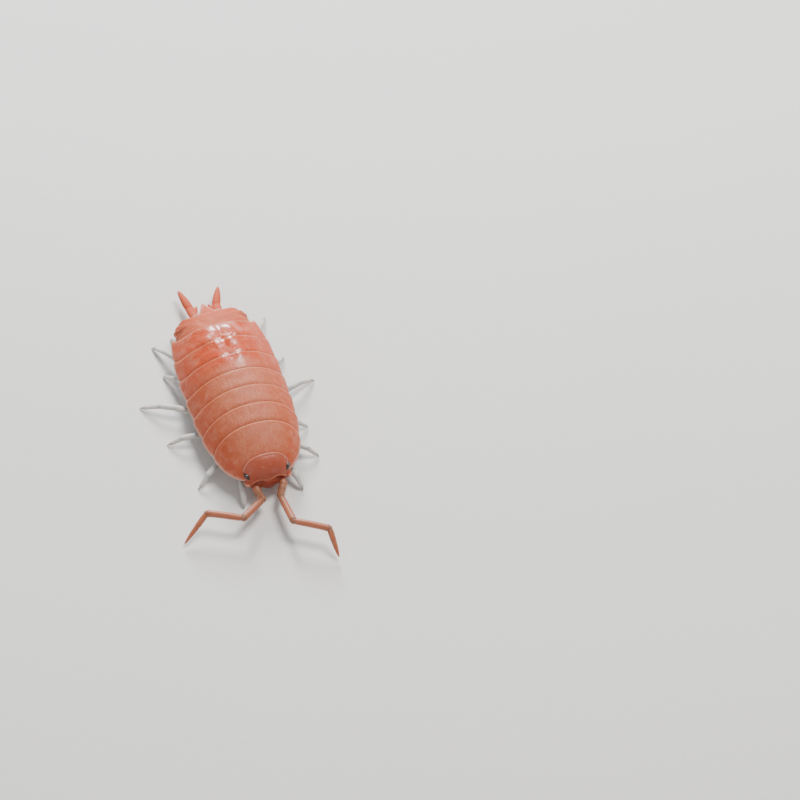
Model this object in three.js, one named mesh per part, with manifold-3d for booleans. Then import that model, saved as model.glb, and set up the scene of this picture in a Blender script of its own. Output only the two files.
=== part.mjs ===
// A life-size woodlouse, standing still. Millimetres, +Z up, head towards -Y, its right side towards -X.
// Seven thoracic plates, a stepped pleon, a telson and two uropods follow the head.
// Fourteen legs carry them.
import * as THREE from "three";
import { mergeVertices } from "three/addons/utils/BufferGeometryUtils.js";
import Module from "manifold-3d";

const wasm = await Module();
wasm.setup();

// Driving dimensions of the body
const BODY_HALF_WIDTH = 3.72; // widest, at the fourth plate
const WIDEST_Y = 0.3;
const OUTLINE_FRONT = 8.2; // from the widest place to where the outline closes
const OUTLINE_REAR = 7.65;
const OUTLINE_POWER = 2.8;
const RIDGE_HEIGHT = 3.0; // of the back above the plates' lower edge
const RIDGE_Y = 0.2;
const RIDGE_FRONT = 8.6;
const RIDGE_REAR = 7.8;
const RIDGE_POWER = 2.4;
const RIDGE_SHAPE_FRONT = 0.6;
const RIDGE_SHAPE_REAR = 0.8;
const EDGE_HEIGHT = 1.4; // of the plates' lower edge above the floor
const BELLY_DROP = 0.05; // the belly lies this much under that edge
const GUTTER = 0.45; // hollow between the belly and the plates' rims
const ARCH_POWER = 2.3;
const ARCH_SHAPE = 0.8;
const RIM_SHARE = 0.13; // of the half width, the rim's thickness

// The joints between the plates
const GAP = 0.28; // between neighbours
const LIP = 0.5; // length of the rear lip that hangs over the next plate
const LIP_DEPTH = 0.25; // share of the body's depth at which the lip ends
const STEP = 0.12; // the front of a plate lies this much under the lip before it
const NOTCH = 0.12; // the front corner of a plate is drawn in by this much
const SEAM_POWER = 3;

// Rear edge of each thoracic plate at the midline, and how far its corners reach behind that
const NECK_Y = -6.8;
const NECK_LOBE = 0.42; // the first plate's corners reach this far forward of the neck
const PLATES = [
  { rear: -4.6, corner: -0.55 },
  { rear: -3.1, corner: -0.15 },
  { rear: -1.6, corner: 0.25 },
  { rear: -0.1, corner: 0.55 },
  { rear: 1.4, corner: 0.9 },
  { rear: 3.0, corner: 1.1 },
  { rear: 4.7, corner: 1.5 },
];

const SMALLEST_EDGE = 0.004; // shorter edges that a union leaves are taken out
const ACROSS = 20; // divisions from one edge of a plate to the other
const PLATE_ROWS = [0, 0.2, 0.55, 1];

// Pleon, telson and uropods
const PLEON = [
  { rear: 5.1, corner: 0.5, half: 2.5 },
  { rear: 5.35, corner: 0.55, half: 2.6 },
  { rear: 5.6, corner: 0.8, half: 2.65 },
  { rear: 5.9, corner: 1.03, half: 2.45 },
  { rear: 6.5, corner: 0.9, half: 1.95 },
];
const PLEON_RISE = 0.03; // each step's run along the body
const PLEON_STEP = 0.14;
const PLEON_CORNER_POWER = 3.2;
const TELSON = { front: 6.5, tip: 8.3, half: 1, height: 2.45, tipHeight: 1.42, thick: 0.5 };
// Root, elbow and tip of each uropod, and the tip of its inner branch
const UROPODS = {
  right: {
    root: [-0.94, 7.85, 1.02],
    elbow: [-0.93, 8.5, 0.98],
    tip: [-1.24, 10.4, 0.86],
    inner: [-0.4, 8.5, 1],
  },
  left: {
    root: [0.96, 7.72, 1.02],
    elbow: [1.02, 8.25, 0.98],
    tip: [1.64, 9.88, 0.86],
    inner: [0.42, 8.42, 1],
  },
};

// Head
const HEAD = { half: 1.62, rear: NECK_Y - 0.12, front: -8.0, top: 3.0, rim: 1.72 };
const EYE = { at: [1.5, -7.36, 1.98], size: [0.2, 0.32, 0.3] };
const EYE_GAP = 0.15;

// Joints of each antenna, from its root to its tip, and the radius at each
const ANTENNA_RADII = [0.3, 0.34, 0.32, 0.3, 0.27, 0.09];
const ANTENNA_RIGHT = [
  [-0.98, -8.28, 1.0],
  [-1.0, -8.66, 1.0],
  [-0.82, -9.15, 1.12],
  [-2.7, -10.55, 1.5],
  [-5.05, -9.35, 1.5],
  [-7.12, -10.6, 0.32],
];
const ANTENNA_LEFT = [
  [0.98, -8.28, 1.0],
  [0.72, -8.72, 1.0],
  [0.45, -9.28, 1.1],
  [0.62, -11.88, 1.5],
  [2.84, -13.25, 1.5],
  [2.97, -15.05, 0.32],
];

// Legs: where each is rooted under the belly, and where each tip stands
const LEG_ROOT_X = 1.45;
const LEG_ROOT_Y = [-5.75, -4.2, -2.7, -1.2, 0.3, 1.85, 3.5];
const TIPS_RIGHT = [
  [2.13, -8.85],
  [4.77, -6.31],
  [5.79, -1.93],
  [6.74, 1.8],
  [4.35, 3.95],
  [4.37, 6.67],
  [2.85, 7.0],
];
const TIPS_LEFT = [
  [2.34, -8.6],
  [4.3, -6.2],
  [4.3, -3.5],
  [5.97, 0.32],
  [4.48, 2.83],
  [4.24, 6.77],
  [2.85, 7.1],
];
const FOOT_RADIUS = 0.13;
// Share of the way from root to tip, height of the centre line and radius, joint by joint
const LEG_JOINTS = [
  { share: 0, height: 1.07, radius: 0.3 },
  { share: 0.16, height: 0.66, radius: 0.27 },
  { share: 0.36, height: 0.7, radius: 0.27 },
  { share: 0.56, height: 0.82, radius: 0.27 },
  { share: 0.72, height: 0.72, radius: 0.25 },
  { share: 0.94, height: 0.24, radius: 0.19 },
];

const COLOURS = {
  shell: 0xd9826a,
  tail: 0xdb8d7c,
  head: 0xc96f58,
  eye: 0x17120f,
  antenna: 0xd98c76,
  leg: 0xd8d2cb,
};

const clamp01 = (t) => Math.min(1, Math.max(0, t));
const smooth = (a, b, t) => {
  const k = clamp01((t - a) / (b - a));
  return k * k * (3 - 2 * k);
};
const mix = (a, b, t) => a + (b - a) * t;

// Half width of the body's outline at y
function outline(y) {
  const reach = y < WIDEST_Y ? OUTLINE_FRONT : OUTLINE_REAR;
  const t = Math.min(0.995, Math.abs(y - WIDEST_Y) / reach);
  return BODY_HALF_WIDTH * (1 - t ** OUTLINE_POWER) ** (1 / OUTLINE_POWER);
}

// Height of the back's ridge at y
function ridge(y) {
  const front = y < RIDGE_Y;
  const t = Math.min(0.995, Math.abs(y - RIDGE_Y) / (front ? RIDGE_FRONT : RIDGE_REAR));
  const shape = front ? RIDGE_SHAPE_FRONT : RIDGE_SHAPE_REAR;
  return EDGE_HEIGHT + RIDGE_HEIGHT * (1 - t ** RIDGE_POWER) ** shape;
}

// A point of a cross-section: across runs from -1 to 1, on the back or on the underside
function section(across, half, top) {
  const g = Math.sin((across * Math.PI) / 2);
  const arch = (1 - Math.abs(g) ** ARCH_POWER) ** ARCH_SHAPE;
  const hollow = smooth(0.5, 0.78, Math.abs(g)) * (1 - smooth(0.86, 1, Math.abs(g)));
  return {
    back: [half * g, EDGE_HEIGHT + (top - EDGE_HEIGHT) * arch],
    under: [
      half * g * (1 - RIM_SHARE * Math.abs(g) ** 3),
      EDGE_HEIGHT - BELLY_DROP * (1 - smooth(0.5, 1, Math.abs(g))) + GUTTER * hollow,
    ],
  };
}

function geometryOf(points, triangles) {
  const g = new THREE.BufferGeometry();
  g.setAttribute("position", new THREE.Float32BufferAttribute(points.flat(), 3));
  g.setIndex(triangles.flat());
  return g;
}

// The closed surface of a block of rows x layers x columns, whose corners point(i, j, k) gives
function block(rows, layers, columns, point) {
  const index = new Map();
  const points = [];
  const at = (i, j, k) => {
    const key = (i * (layers + 1) + j) * (columns + 1) + k;
    if (!index.has(key)) {
      index.set(key, points.length);
      points.push(point(i, j, k));
    }
    return index.get(key);
  };
  const triangles = [];
  const quad = (a, b, c, d) => triangles.push([a, b, c], [a, c, d]);
  for (let i = 0; i < rows; i++)
    for (let k = 0; k < columns; k++) {
      quad(at(i, 0, k), at(i, 0, k + 1), at(i + 1, 0, k + 1), at(i + 1, 0, k));
      quad(at(i, layers, k), at(i + 1, layers, k), at(i + 1, layers, k + 1), at(i, layers, k + 1));
    }
  for (let j = 0; j < layers; j++)
    for (let k = 0; k < columns; k++) {
      quad(at(0, j, k), at(0, j + 1, k), at(0, j + 1, k + 1), at(0, j, k + 1));
      quad(at(rows, j, k), at(rows, j, k + 1), at(rows, j + 1, k + 1), at(rows, j + 1, k));
    }
  for (let i = 0; i < rows; i++)
    for (let j = 0; j < layers; j++) {
      quad(at(i, j, 0), at(i + 1, j, 0), at(i + 1, j + 1, 0), at(i, j + 1, 0));
      quad(at(i, j, columns), at(i, j + 1, columns), at(i + 1, j + 1, columns), at(i + 1, j, columns));
    }
  return geometryOf(points, triangles);
}

// A plate with all the body under it, from its front edge to its rear lip
function plateGeometry({ rows, frontY, rearY, halfAt, step, notch, frontLip, rearLip }) {
  return block(rows.length - 1, 2, ACROSS, (i, j, k) => {
    const t = rows[i];
    const across = -1 + (2 * k) / ACROSS;
    const y = mix(frontY(across), rearY(across), t);
    const drawn = (1 - t) ** 2;
    const half = halfAt(y) - (step + notch) * drawn;
    const s = section(across, half, ridge(y) - step * drawn);
    const down = [0, LIP_DEPTH, 1][j];
    const under = j === 0 ? 0 : mix(frontLip, rearLip, t);
    return [mix(s.back[0], s.under[0], down), y - under, mix(s.back[1], s.under[1], down)];
  });
}

const seam = ({ rear, corner }, across) => rear + corner * Math.abs(across) ** SEAM_POWER;

// Front edge of the first plate: hollow round the head, with a lobe on each side
function neckEdge(across) {
  const g = Math.abs(Math.sin((across * Math.PI) / 2));
  return NECK_Y + GAP / 2 - NECK_LOBE * smooth(0.62, 0.95, g);
}

function thoraxPlate(n) {
  const first = n === 0;
  return plateGeometry({
    rows: PLATE_ROWS,
    frontY: first ? neckEdge : (a) => seam(PLATES[n - 1], a) + GAP,
    rearY: (a) => seam(PLATES[n], a),
    halfAt: outline,
    step: STEP,
    notch: first ? 0 : NOTCH,
    frontLip: first ? 0 : LIP,
    rearLip: LIP,
  });
}

// A closed solid for joining and cutting
function solid(geometry) {
  const g = geometry.index ? geometry.toNonIndexed() : geometry.clone();
  g.deleteAttribute("normal");
  g.deleteAttribute("uv");
  const merged = mergeVertices(g, 1e-4);
  return new wasm.Manifold(
    new wasm.Mesh({
      numProp: 3,
      vertProperties: merged.attributes.position.array,
      triVerts: new Uint32Array(merged.index.array),
    }),
  );
}

function geometryFrom(manifold) {
  const clean = manifold.asOriginal().simplify(SMALLEST_EDGE);
  const largest = clean.decompose().sort((a, b) => b.volume() - a.volume())[0];
  const mesh = largest.getMesh();
  const g = new THREE.BufferGeometry();
  g.setAttribute("position", new THREE.BufferAttribute(mesh.vertProperties, 3));
  g.setIndex(new THREE.BufferAttribute(mesh.triVerts, 1));
  return g;
}

const joined = (...geometries) => geometries.map(solid).reduce((all, next) => all.add(next));

function ball(at, size, turn = [0, 0, 0], around = 14, upwards = 10) {
  const matrix = new THREE.Matrix4().compose(
    new THREE.Vector3(...at),
    new THREE.Quaternion().setFromEuler(new THREE.Euler(...turn)),
    new THREE.Vector3(...size),
  );
  return new THREE.SphereGeometry(1, around, upwards).applyMatrix4(matrix);
}

function box(low, high) {
  const size = high.map((v, n) => v - low[n]);
  return new THREE.BoxGeometry(...size).translate(...high.map((v, n) => (v + low[n]) / 2));
}

// A tube through stations {at, radius, normal}, closed by a fan at each end
function limb(stations, sides = 8) {
  const points = [];
  const triangles = [];
  const across = new THREE.Vector3(0, 0, 1);
  stations.forEach(({ at, radius, normal }, n) => {
    const before = stations[Math.max(0, n - 1)].at;
    const after = stations[Math.min(stations.length - 1, n + 1)].at;
    const along = normal
      ? new THREE.Vector3(...normal)
      : new THREE.Vector3(...after).sub(new THREE.Vector3(...before)).normalize();
    across.addScaledVector(along, -across.dot(along));
    if (across.lengthSq() < 1e-4) across.set(1, 0, 0).addScaledVector(along, -along.x);
    across.normalize();
    const other = new THREE.Vector3().crossVectors(along, across);
    for (let k = 0; k < sides; k++) {
      const a = (2 * Math.PI * k) / sides;
      points.push(
        new THREE.Vector3(...at)
          .addScaledVector(across, radius * Math.cos(a))
          .addScaledVector(other, radius * Math.sin(a))
          .toArray(),
      );
    }
  });
  for (let n = 0; n < stations.length - 1; n++)
    for (let k = 0; k < sides; k++) {
      const a = n * sides + k;
      const b = n * sides + ((k + 1) % sides);
      triangles.push([a, b, b + sides], [a, b + sides, a + sides]);
    }
  const last = (stations.length - 1) * sides;
  for (let k = 1; k < sides - 1; k++) {
    triangles.push([0, k + 1, k]);
    triangles.push([last, last + k, last + k + 1]);
  }
  return geometryOf(points, triangles);
}

// Stations along one article: a narrow joint, a fuller middle and a flared end
function article(from, to, radiusFrom, radiusTo) {
  const at = (t) => from.map((v, n) => mix(v, to[n], t));
  return [
    { at: at(0.1), radius: radiusFrom * 0.86 },
    { at: at(0.35), radius: mix(radiusFrom, radiusTo, 0.35) * 1.04 },
    { at: at(0.86), radius: mix(radiusFrom, radiusTo, 0.86) * 1.06 },
    { at: at(0.97), radius: radiusTo * 0.9 },
  ];
}

function antenna(joints) {
  const stations = [{ at: joints[0], radius: ANTENNA_RADII[0] * 0.9, normal: [0, -1, 0] }];
  for (let n = 0; n < joints.length - 1; n++)
    stations.push(...article(joints[n], joints[n + 1], ANTENNA_RADII[n], ANTENNA_RADII[n + 1]));
  return limb(stations);
}

function leg(side, n) {
  const [tipX, tipY] = (side < 0 ? TIPS_RIGHT : TIPS_LEFT)[n];
  const root = [side * LEG_ROOT_X, LEG_ROOT_Y[n]];
  const tip = [side * tipX, tipY];
  const joints = LEG_JOINTS.map(({ share, height }) => [
    mix(root[0], tip[0], share),
    mix(root[1], tip[1], share),
    height,
  ]);
  const stations = [{ at: joints[0], radius: LEG_JOINTS[0].radius, normal: [0, 0, -1] }];
  for (let k = 0; k < joints.length - 1; k++)
    stations.push(...article(joints[k], joints[k + 1], LEG_JOINTS[k].radius, LEG_JOINTS[k + 1].radius));
  stations.push({ at: [...tip, 0], radius: FOOT_RADIUS, normal: [0, 0, -1] });
  return limb(stations);
}

function headGeometry() {
  const length = HEAD.rear - HEAD.front;
  const size = [HEAD.half, length + 0.05, HEAD.top - HEAD.rim];
  const cranium = ball([0, HEAD.rear - 0.1, HEAD.rim], size, [0, 0, 0], 28, 14);
  const face = ball([0, -7.42, 1.32], [1.25, 0.52, 0.58], [0, 0, 0], 20, 10);
  const mouth = ball([0, -7.3, 1.05], [0.72, 0.48, 0.42], [0, 0, 0], 14, 8);
  const pieces = [cranium, face, mouth];
  for (const side of [-1, 1]) {
    pieces.push(ball([side * 1.22, -7.62, 1.6], [0.42, 0.42, 0.34], [0, 0, side * 0.4], 12, 8));
    pieces.push(ball([side * 0.95, -7.68, 1.18], [0.34, 0.34, 0.34], [0, 0, 0], 10, 8));
  }
  const neck = box([-3, HEAD.rear - GAP / 2, 0], [3, HEAD.rear + 3, 5]);
  let made = joined(...pieces).subtract(solid(neck));
  for (const side of [-1, 1]) made = made.subtract(solid(eyeGeometry(side, EYE_GAP)));
  return geometryFrom(made);
}

function eyeGeometry(side, grown = 0) {
  const at = [side * EYE.at[0], EYE.at[1], EYE.at[2]];
  return ball(at, EYE.size.map((v) => v + grown), [0, side * 0.5, 0], 12, 8);
}

// Front edge of the pleon: it follows the last plate's lip at the same distance from the midline
function pleonFront(across) {
  const last = PLATES[PLATES.length - 1];
  const x = PLEON[0].half * Math.sin((across * Math.PI) / 2);
  return seam(last, (Math.asin(x / outline(last.rear)) * 2) / Math.PI) + GAP;
}

// Five short plates in one surface, each stepping down to the next
function pleonGeometry() {
  const rows = [];
  PLEON.forEach((p, n) => {
    const before = PLEON[n - 1];
    const edge = ({ rear, corner }) => (a) => rear + corner * Math.abs(a) ** PLEON_CORNER_POWER;
    const front = n === 0 ? pleonFront : (a) => edge(before)(a) + PLEON_RISE;
    rows.push({ y: front, half: p.half - PLEON_STEP, sunk: PLEON_STEP });
    rows.push({ y: edge(p), half: p.half, sunk: 0 });
  });
  return block(rows.length - 1, 2, ACROSS, (i, j, k) => {
    const across = -1 + (2 * k) / ACROSS;
    const { y, half, sunk } = rows[i];
    const s = section(across, half, ridge(y(0)) - sunk);
    const down = [0, LIP_DEPTH, 1][j];
    const under = j === 0 ? 0 : LIP * (1 - i / (rows.length - 1)) ** 2;
    return [mix(s.back[0], s.under[0], down), y(across) - under, mix(s.back[1], s.under[1], down)];
  });
}

function telsonGeometry() {
  const rows = 4;
  const columns = 8;
  return block(rows, 1, columns, (i, j, k) => {
    const t = i / rows;
    const across = -1 + (2 * k) / columns;
    const half = mix(TELSON.half, 0.1, t ** 0.8);
    const top = mix(TELSON.height, TELSON.tipHeight, t ** 0.8) - 0.25 * across * across * (1 - t);
    return [half * across, mix(TELSON.front + GAP, TELSON.tip, t), top - j * mix(TELSON.thick, 0.25, t)];
  });
}

function uropodGeometry({ root, elbow, tip, inner: end }) {
  const along = (t) => elbow.map((v, n) => mix(v, tip[n], t));
  const outer = limb([
    { at: root, radius: 0.3, normal: [0, 1, 0] },
    { at: elbow, radius: 0.33 },
    { at: along(0.4), radius: 0.28 },
    { at: along(0.8), radius: 0.16 },
    { at: tip, radius: 0.05 },
  ]);
  const inner = limb([
    { at: [root[0] * 0.95, root[1] + 0.1, 0.95], radius: 0.2 },
    { at: end, radius: 0.08 },
  ]);
  return geometryFrom(joined(outer, inner));
}

const woodlouse = new THREE.Group();
const finish = { roughness: 0.45, metalness: 0 };
function add(name, geometry, colour) {
  const mesh = new THREE.Mesh(geometry, new THREE.MeshStandardMaterial({ color: colour, ...finish }));
  mesh.name = name;
  woodlouse.add(mesh);
}

add("head", headGeometry(), COLOURS.head);
PLATES.forEach((_, n) => add(`thorax_plate_${n + 1}`, thoraxPlate(n), COLOURS.shell));
add("pleon", pleonGeometry(), COLOURS.tail);
add("telson", telsonGeometry(), COLOURS.tail);
for (const [side, word, joints] of [
  [-1, "right", ANTENNA_RIGHT],
  [1, "left", ANTENNA_LEFT],
]) {
  add(`eye_${word}`, eyeGeometry(side), COLOURS.eye);
  add(`antenna_${word}`, antenna(joints), COLOURS.antenna);
  add(`uropod_${word}`, uropodGeometry(UROPODS[word]), COLOURS.tail);
  for (let n = 0; n < LEG_ROOT_Y.length; n++) add(`leg_${word}_${n + 1}`, leg(side, n), COLOURS.leg);
}

// The origin is on the floor, under the middle of everything
const bounds = new THREE.Box3().setFromObject(woodlouse);
const middle = bounds.getCenter(new THREE.Vector3());
woodlouse.position.set(-middle.x, -middle.y, 0);

export default woodlouse;
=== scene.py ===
import math
import random

import bmesh
import bpy
import numpy as np
from mathutils import Color, Matrix, Vector


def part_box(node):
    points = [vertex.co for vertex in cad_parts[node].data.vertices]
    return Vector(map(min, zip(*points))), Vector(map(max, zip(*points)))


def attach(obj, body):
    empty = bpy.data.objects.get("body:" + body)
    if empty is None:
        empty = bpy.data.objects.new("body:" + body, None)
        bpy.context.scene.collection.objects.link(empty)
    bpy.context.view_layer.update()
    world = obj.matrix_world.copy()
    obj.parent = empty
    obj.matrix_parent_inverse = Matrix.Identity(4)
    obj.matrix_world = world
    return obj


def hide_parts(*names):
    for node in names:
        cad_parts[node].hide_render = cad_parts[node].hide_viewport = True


bl_info = {
    "name": "Woodlouse",
    "version": (1, 0, 0),
    "blender": (4, 5, 0),
    "location": "3D View > Sidebar > Woodlouse",
    "description": "Dresses the solids of a woodlouse as a life-size museum model",
    "category": "Object",
}

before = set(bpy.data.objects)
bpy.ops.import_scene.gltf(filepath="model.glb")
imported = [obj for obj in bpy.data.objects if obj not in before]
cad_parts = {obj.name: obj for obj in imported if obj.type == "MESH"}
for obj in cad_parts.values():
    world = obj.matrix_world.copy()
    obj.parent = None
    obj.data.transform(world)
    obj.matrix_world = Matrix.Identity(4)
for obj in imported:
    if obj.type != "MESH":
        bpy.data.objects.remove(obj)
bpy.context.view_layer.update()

# Shapes are worked out in millimetres in the body's own frame: head towards -Y, midline at x = 0,
# end of the telson's solid at TELSON_END_Y. place() moves them into the row's frame.
MM = 0.001
TELSON_END_Y = 8.3
TELSON_LOW, TELSON_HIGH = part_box("telson")
SHIFT = np.array([(TELSON_LOW.x + TELSON_HIGH.x) / 2 / MM, TELSON_HIGH.y / MM - TELSON_END_Y, 0.0])

# The body's outline and ridge, as the solids have them
HALF_WIDTH = 3.72
WIDEST_Y = 0.3
OUTLINE_REACH = (8.2, 7.65)
OUTLINE_POWER = 2.8
RIDGE_RISE = 3.0
RIDGE_Y = 0.2
RIDGE_REACH = (8.6, 7.8)
RIDGE_POWER = 2.4
RIDGE_SHAPE = (0.6, 0.8)
EDGE_Z = 1.4
ARCH_POWER = 2.3
ARCH_SHAPE = 0.8

# Rear edge of each plate at the midline and how far its corners reach behind that
PLATES = [(-4.6, -0.55), (-3.1, -0.15), (-1.6, 0.25), (-0.1, 0.55), (1.4, 0.9), (3.0, 1.1), (4.7, 1.4)]
OVERLAP = 0.42
# The head's rear edge: the neck, how far before it the edge lies, how far its corners bend, half its width
NECK_Y, NECK_LAP, NECK_BEND, NECK_HALF = -6.8, 0.06, 0.34, 1.66
# The frontal line: half its width, and its place on the midline along and up
BROW_HALF, BROW_Y, BROW_Z = 1.55, -7.99, 1.62

# Each plate of the pleon: rear edge at the midline, place of its rear corner across and along
PLEON_ROOT = (4.6, 2.95, 5.2)
PLEON = [(5.08, 2.82, 5.6), (5.28, 2.82, 5.85), (5.5, 2.82, 6.4), (5.76, 2.45, 6.86), (6.5, 1.78, 7.2)]
PLEON_THICKNESS, PLEON_LAP = 0.09, 0.3
PLEON_CORNER_POWER = 3.2
PLEON_ARCH_POWER = 3.0
PLEON_ARCH_SHAPE = 0.62
# Behind PLEON_BEND_Y the pleon's back falls this much for each millimetre
PLEON_BEND_Y = 7.0
PLEON_FALL = 0.55
# The telson's plate: its front and tip along, half width at its tip and how much wider it starts,
# height of its front and how far it falls
TELSON_FRONT_Y, TELSON_TIP_Y = 6.3, 8.25
TELSON_TIP_HALF, TELSON_SPREAD = 0.12, 1.12
TELSON_TOP, TELSON_FALL = 2.72, 1.18
# Root, elbow and tip of each uropod, and the tip of its inner branch
UROPODS = {
    "right": [(-0.94, 7.85, 1.02), (-0.93, 8.5, 0.98), (-1.24, 10.4, 0.86), (-0.4, 8.5, 1.1)],
    "left": [(0.96, 7.72, 1.02), (1.02, 8.25, 0.98), (1.64, 9.88, 0.86), (0.42, 8.42, 1.1)],
}
# Share of the way and radius at each station of a uropod's base and of its two branches
UROPOD_BASE = [(0.0, 0.22), (0.35, 0.33), (0.75, 0.35), (1.1, 0.31), (1.3, 0.24)]
UROPOD_OUTER = [(-0.1, 0.26), (0.05, 0.31), (0.25, 0.31), (0.5, 0.27)]
UROPOD_OUTER += [(0.72, 0.2), (0.9, 0.13), (0.97, 0.085), (1.0, 0.03)]
UROPOD_INNER = [(0.0, 0.12), (0.2, 0.14), (0.55, 0.12), (0.85, 0.08), (1.0, 0.03)]

# Joints of each antenna, from its root to its tip
ANTENNAE = {
    "right": [
        (-0.98, -8.28, 1.0), (-1.0, -8.66, 1.0), (-0.82, -9.15, 1.12),
        (-2.7, -10.55, 1.5), (-5.05, -9.35, 1.5), (-7.12, -10.6, 0.32),
    ],
    "left": [
        (0.98, -8.28, 1.0), (0.72, -8.72, 1.0), (0.45, -9.28, 1.1),
        (0.62, -11.88, 1.5), (2.84, -13.25, 1.5), (2.97, -15.05, 0.32),
    ],
}
# Joint and radius of the pale skin in each bend
ANTENNA_BENDS = [(1, 0.25), (2, 0.25), (3, 0.235), (4, 0.215)]
# The last article tapers: share of its way and radius
ANTENNA_TAPER = [(0, 0.12), (0.04, 0.2), (0.4, 0.17), (0.75, 0.11), (0.93, 0.06), (1, 0.02)]

# Legs: where each is rooted, and how far out and along its tip stands
LEG_ROOT_X = 1.45
LEG_ROOT_Y = [-5.75, -4.2, -2.7, -1.2, 0.3, 1.85, 3.5]
LEG_TIPS = {
    "right": [
        (2.13, -8.85), (4.77, -6.31), (5.79, -1.93), (6.74, 1.8), (4.35, 3.95), (4.37, 6.67), (2.85, 7.0),
    ],
    "left": [(2.34, -8.6), (4.3, -6.2), (4.3, -3.5), (5.97, 0.32), (4.48, 2.83), (4.24, 6.77), (2.85, 7.1)],
}
# Share of the way from root to tip, height of the centre line and radius at each joint of a leg
LEG_JOINTS = [(0.0, 1.3, 0.26), (0.16, 0.78, 0.25), (0.36, 0.74, 0.25), (0.56, 0.9, 0.24)]
LEG_JOINTS += [(0.74, 0.76, 0.21), (0.93, 0.26, 0.14), (1.0, 0.05, 0.06)]
# Share of its way and radius of a leg's claw, and of the shorter one beside it
CLAW = [(0, 0.13), (0.3, 0.1), (0.6, 0.07), (0.85, 0.04), (1, 0.012)]
SHORT_CLAW = [(0, 0.05), (0.5, 0.035), (1, 0.01)]
CLAW_APART = 0.045
ANTENNA_HAIR_SEED, LEG_BRISTLE_SEED = 5, 8

# An eye: half length and half height of its cluster of beads and of the dome that carries them,
# the dome's half sizes, its turn, and the beads' distances along and up
EYE_REACH = (0.29, 0.25)
EYE_DOME_REACH = (0.32, 0.28)
EYE_DOME = (0.16, 0.3, 0.26)
EYE_TILT, EYE_YAW = 0.5, 0.35
OCELLUS_STEP = (0.105, 0.092)
BEAD_SEED = 3
# How far the visible eye lies from the middle of its solid: inwards, forwards and up
EYE_OFFSET = (-0.02, -0.14, 0.02)

# The belly: its front and rear end, widest half width, lowest height and the height of its sides
BELLY_Y = (-6.95, 7.2)
BELLY_HALF = 2.35
BELLY_LOW = 1.34
BELLY_SIDE_Z = 1.75

# Size of the grain in which closed shapes are melted into one skin
UROPOD_GRAIN = 0.035
HEAD_GRAIN = 0.032
BELLY_GRAIN = 0.06

SIDES = {"right": -1, "left": 1}


def smooth(low, high, value):
    """0 at low, 1 at high, easing at both ends."""
    k = np.clip((value - low) / (high - low), 0, 1)
    return k * k * (3 - 2 * k)


def mix(a, b, t):
    return a + (b - a) * t


def outline(y):
    """Half width of the body at y."""
    reach = np.where(y < WIDEST_Y, *OUTLINE_REACH)
    t = np.minimum(0.995, np.abs(y - WIDEST_Y) / reach)
    return HALF_WIDTH * (1 - t**OUTLINE_POWER) ** (1 / OUTLINE_POWER)


def ridge(y):
    """Height of the back at y on the midline."""
    t = np.minimum(0.995, np.abs(y - RIDGE_Y) / np.where(y < RIDGE_Y, *RIDGE_REACH))
    return EDGE_Z + RIDGE_RISE * (1 - t**RIDGE_POWER) ** np.where(y < RIDGE_Y, *RIDGE_SHAPE)


def arch(g):
    """Section of the thorax: g is the share of the way from the midline to the edge."""
    return (1 - np.minimum(1, np.abs(g)) ** ARCH_POWER) ** ARCH_SHAPE


def back_height(x, y):
    """Height of the arched back at x, y."""
    return EDGE_Z + (ridge(y) - EDGE_Z) * arch(x / outline(y))


# Uneven lumps of the glossy plates: place across and along, spread and height
LUMP_SEED, LUMP_COUNT = 4, 150
draw = random.Random(LUMP_SEED)
LUMPS = [
    (draw.uniform(-3, 3), draw.uniform(0.2, 5.6), draw.uniform(0.16, 0.42), draw.uniform(-0.05, 0.05))
    for _ in range(LUMP_COUNT)
]
# Paired swellings beside a shallow groove on the midline: place across and along
SWELLINGS = [(0.66, 4.1), (0.62, 2.55), (0.6, 1.05)]
SWELLING_RISE, SWELLING_SPREAD = 0.075, 0.36
GROOVE_DEPTH, GROOVE_SPREAD = 0.035, 0.26


def mound(x, y, spread):
    return np.exp(-(x**2 + y**2) / (2 * spread * spread))


def lumps(x, y):
    """Low uneven relief of the glossy plates, in millimetres."""
    height = -GROOVE_DEPTH * np.exp(-((x / GROOVE_SPREAD) ** 2))
    for cx, cy in SWELLINGS:
        height = height + SWELLING_RISE * mound(np.abs(x) - cx, y - cy, SWELLING_SPREAD)
    for cx, cy, spread, rise in LUMPS:
        height = height + rise * mound(x - cx, y - cy, spread)
    return height * smooth(0.2, 1.8, y) * (1 - smooth(1.9, 2.8, np.abs(x)))


def place(points):
    """Points of the body's millimetres in the row's metres, none of them under the floor."""
    at = (np.asarray(points, float) + SHIFT) * MM
    at[..., 2] = np.maximum(at[..., 2], 0.0)
    return at


# Meshes


def new_object(name, points, faces, attributes=None, recalculate=True, in_place=False):
    """A smooth mesh object from points in the body's millimetres."""
    mesh = bpy.data.meshes.new(name)
    mesh.from_pydata((points if in_place else place(points)).tolist(), [], faces)
    if recalculate:
        bm = bmesh.new()
        bm.from_mesh(mesh)
        bmesh.ops.recalc_face_normals(bm, faces=bm.faces)
        bm.to_mesh(mesh)
        bm.free()
    for key, values in (attributes or {}).items():
        layer = mesh.attributes.new(key, "FLOAT", "POINT")
        layer.data.foreach_set("value", np.asarray(values, np.float32).ravel())
    mesh.shade_smooth()
    mesh.update()
    obj = bpy.data.objects.new(name, mesh)
    bpy.context.scene.collection.objects.link(obj)
    return obj


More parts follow.
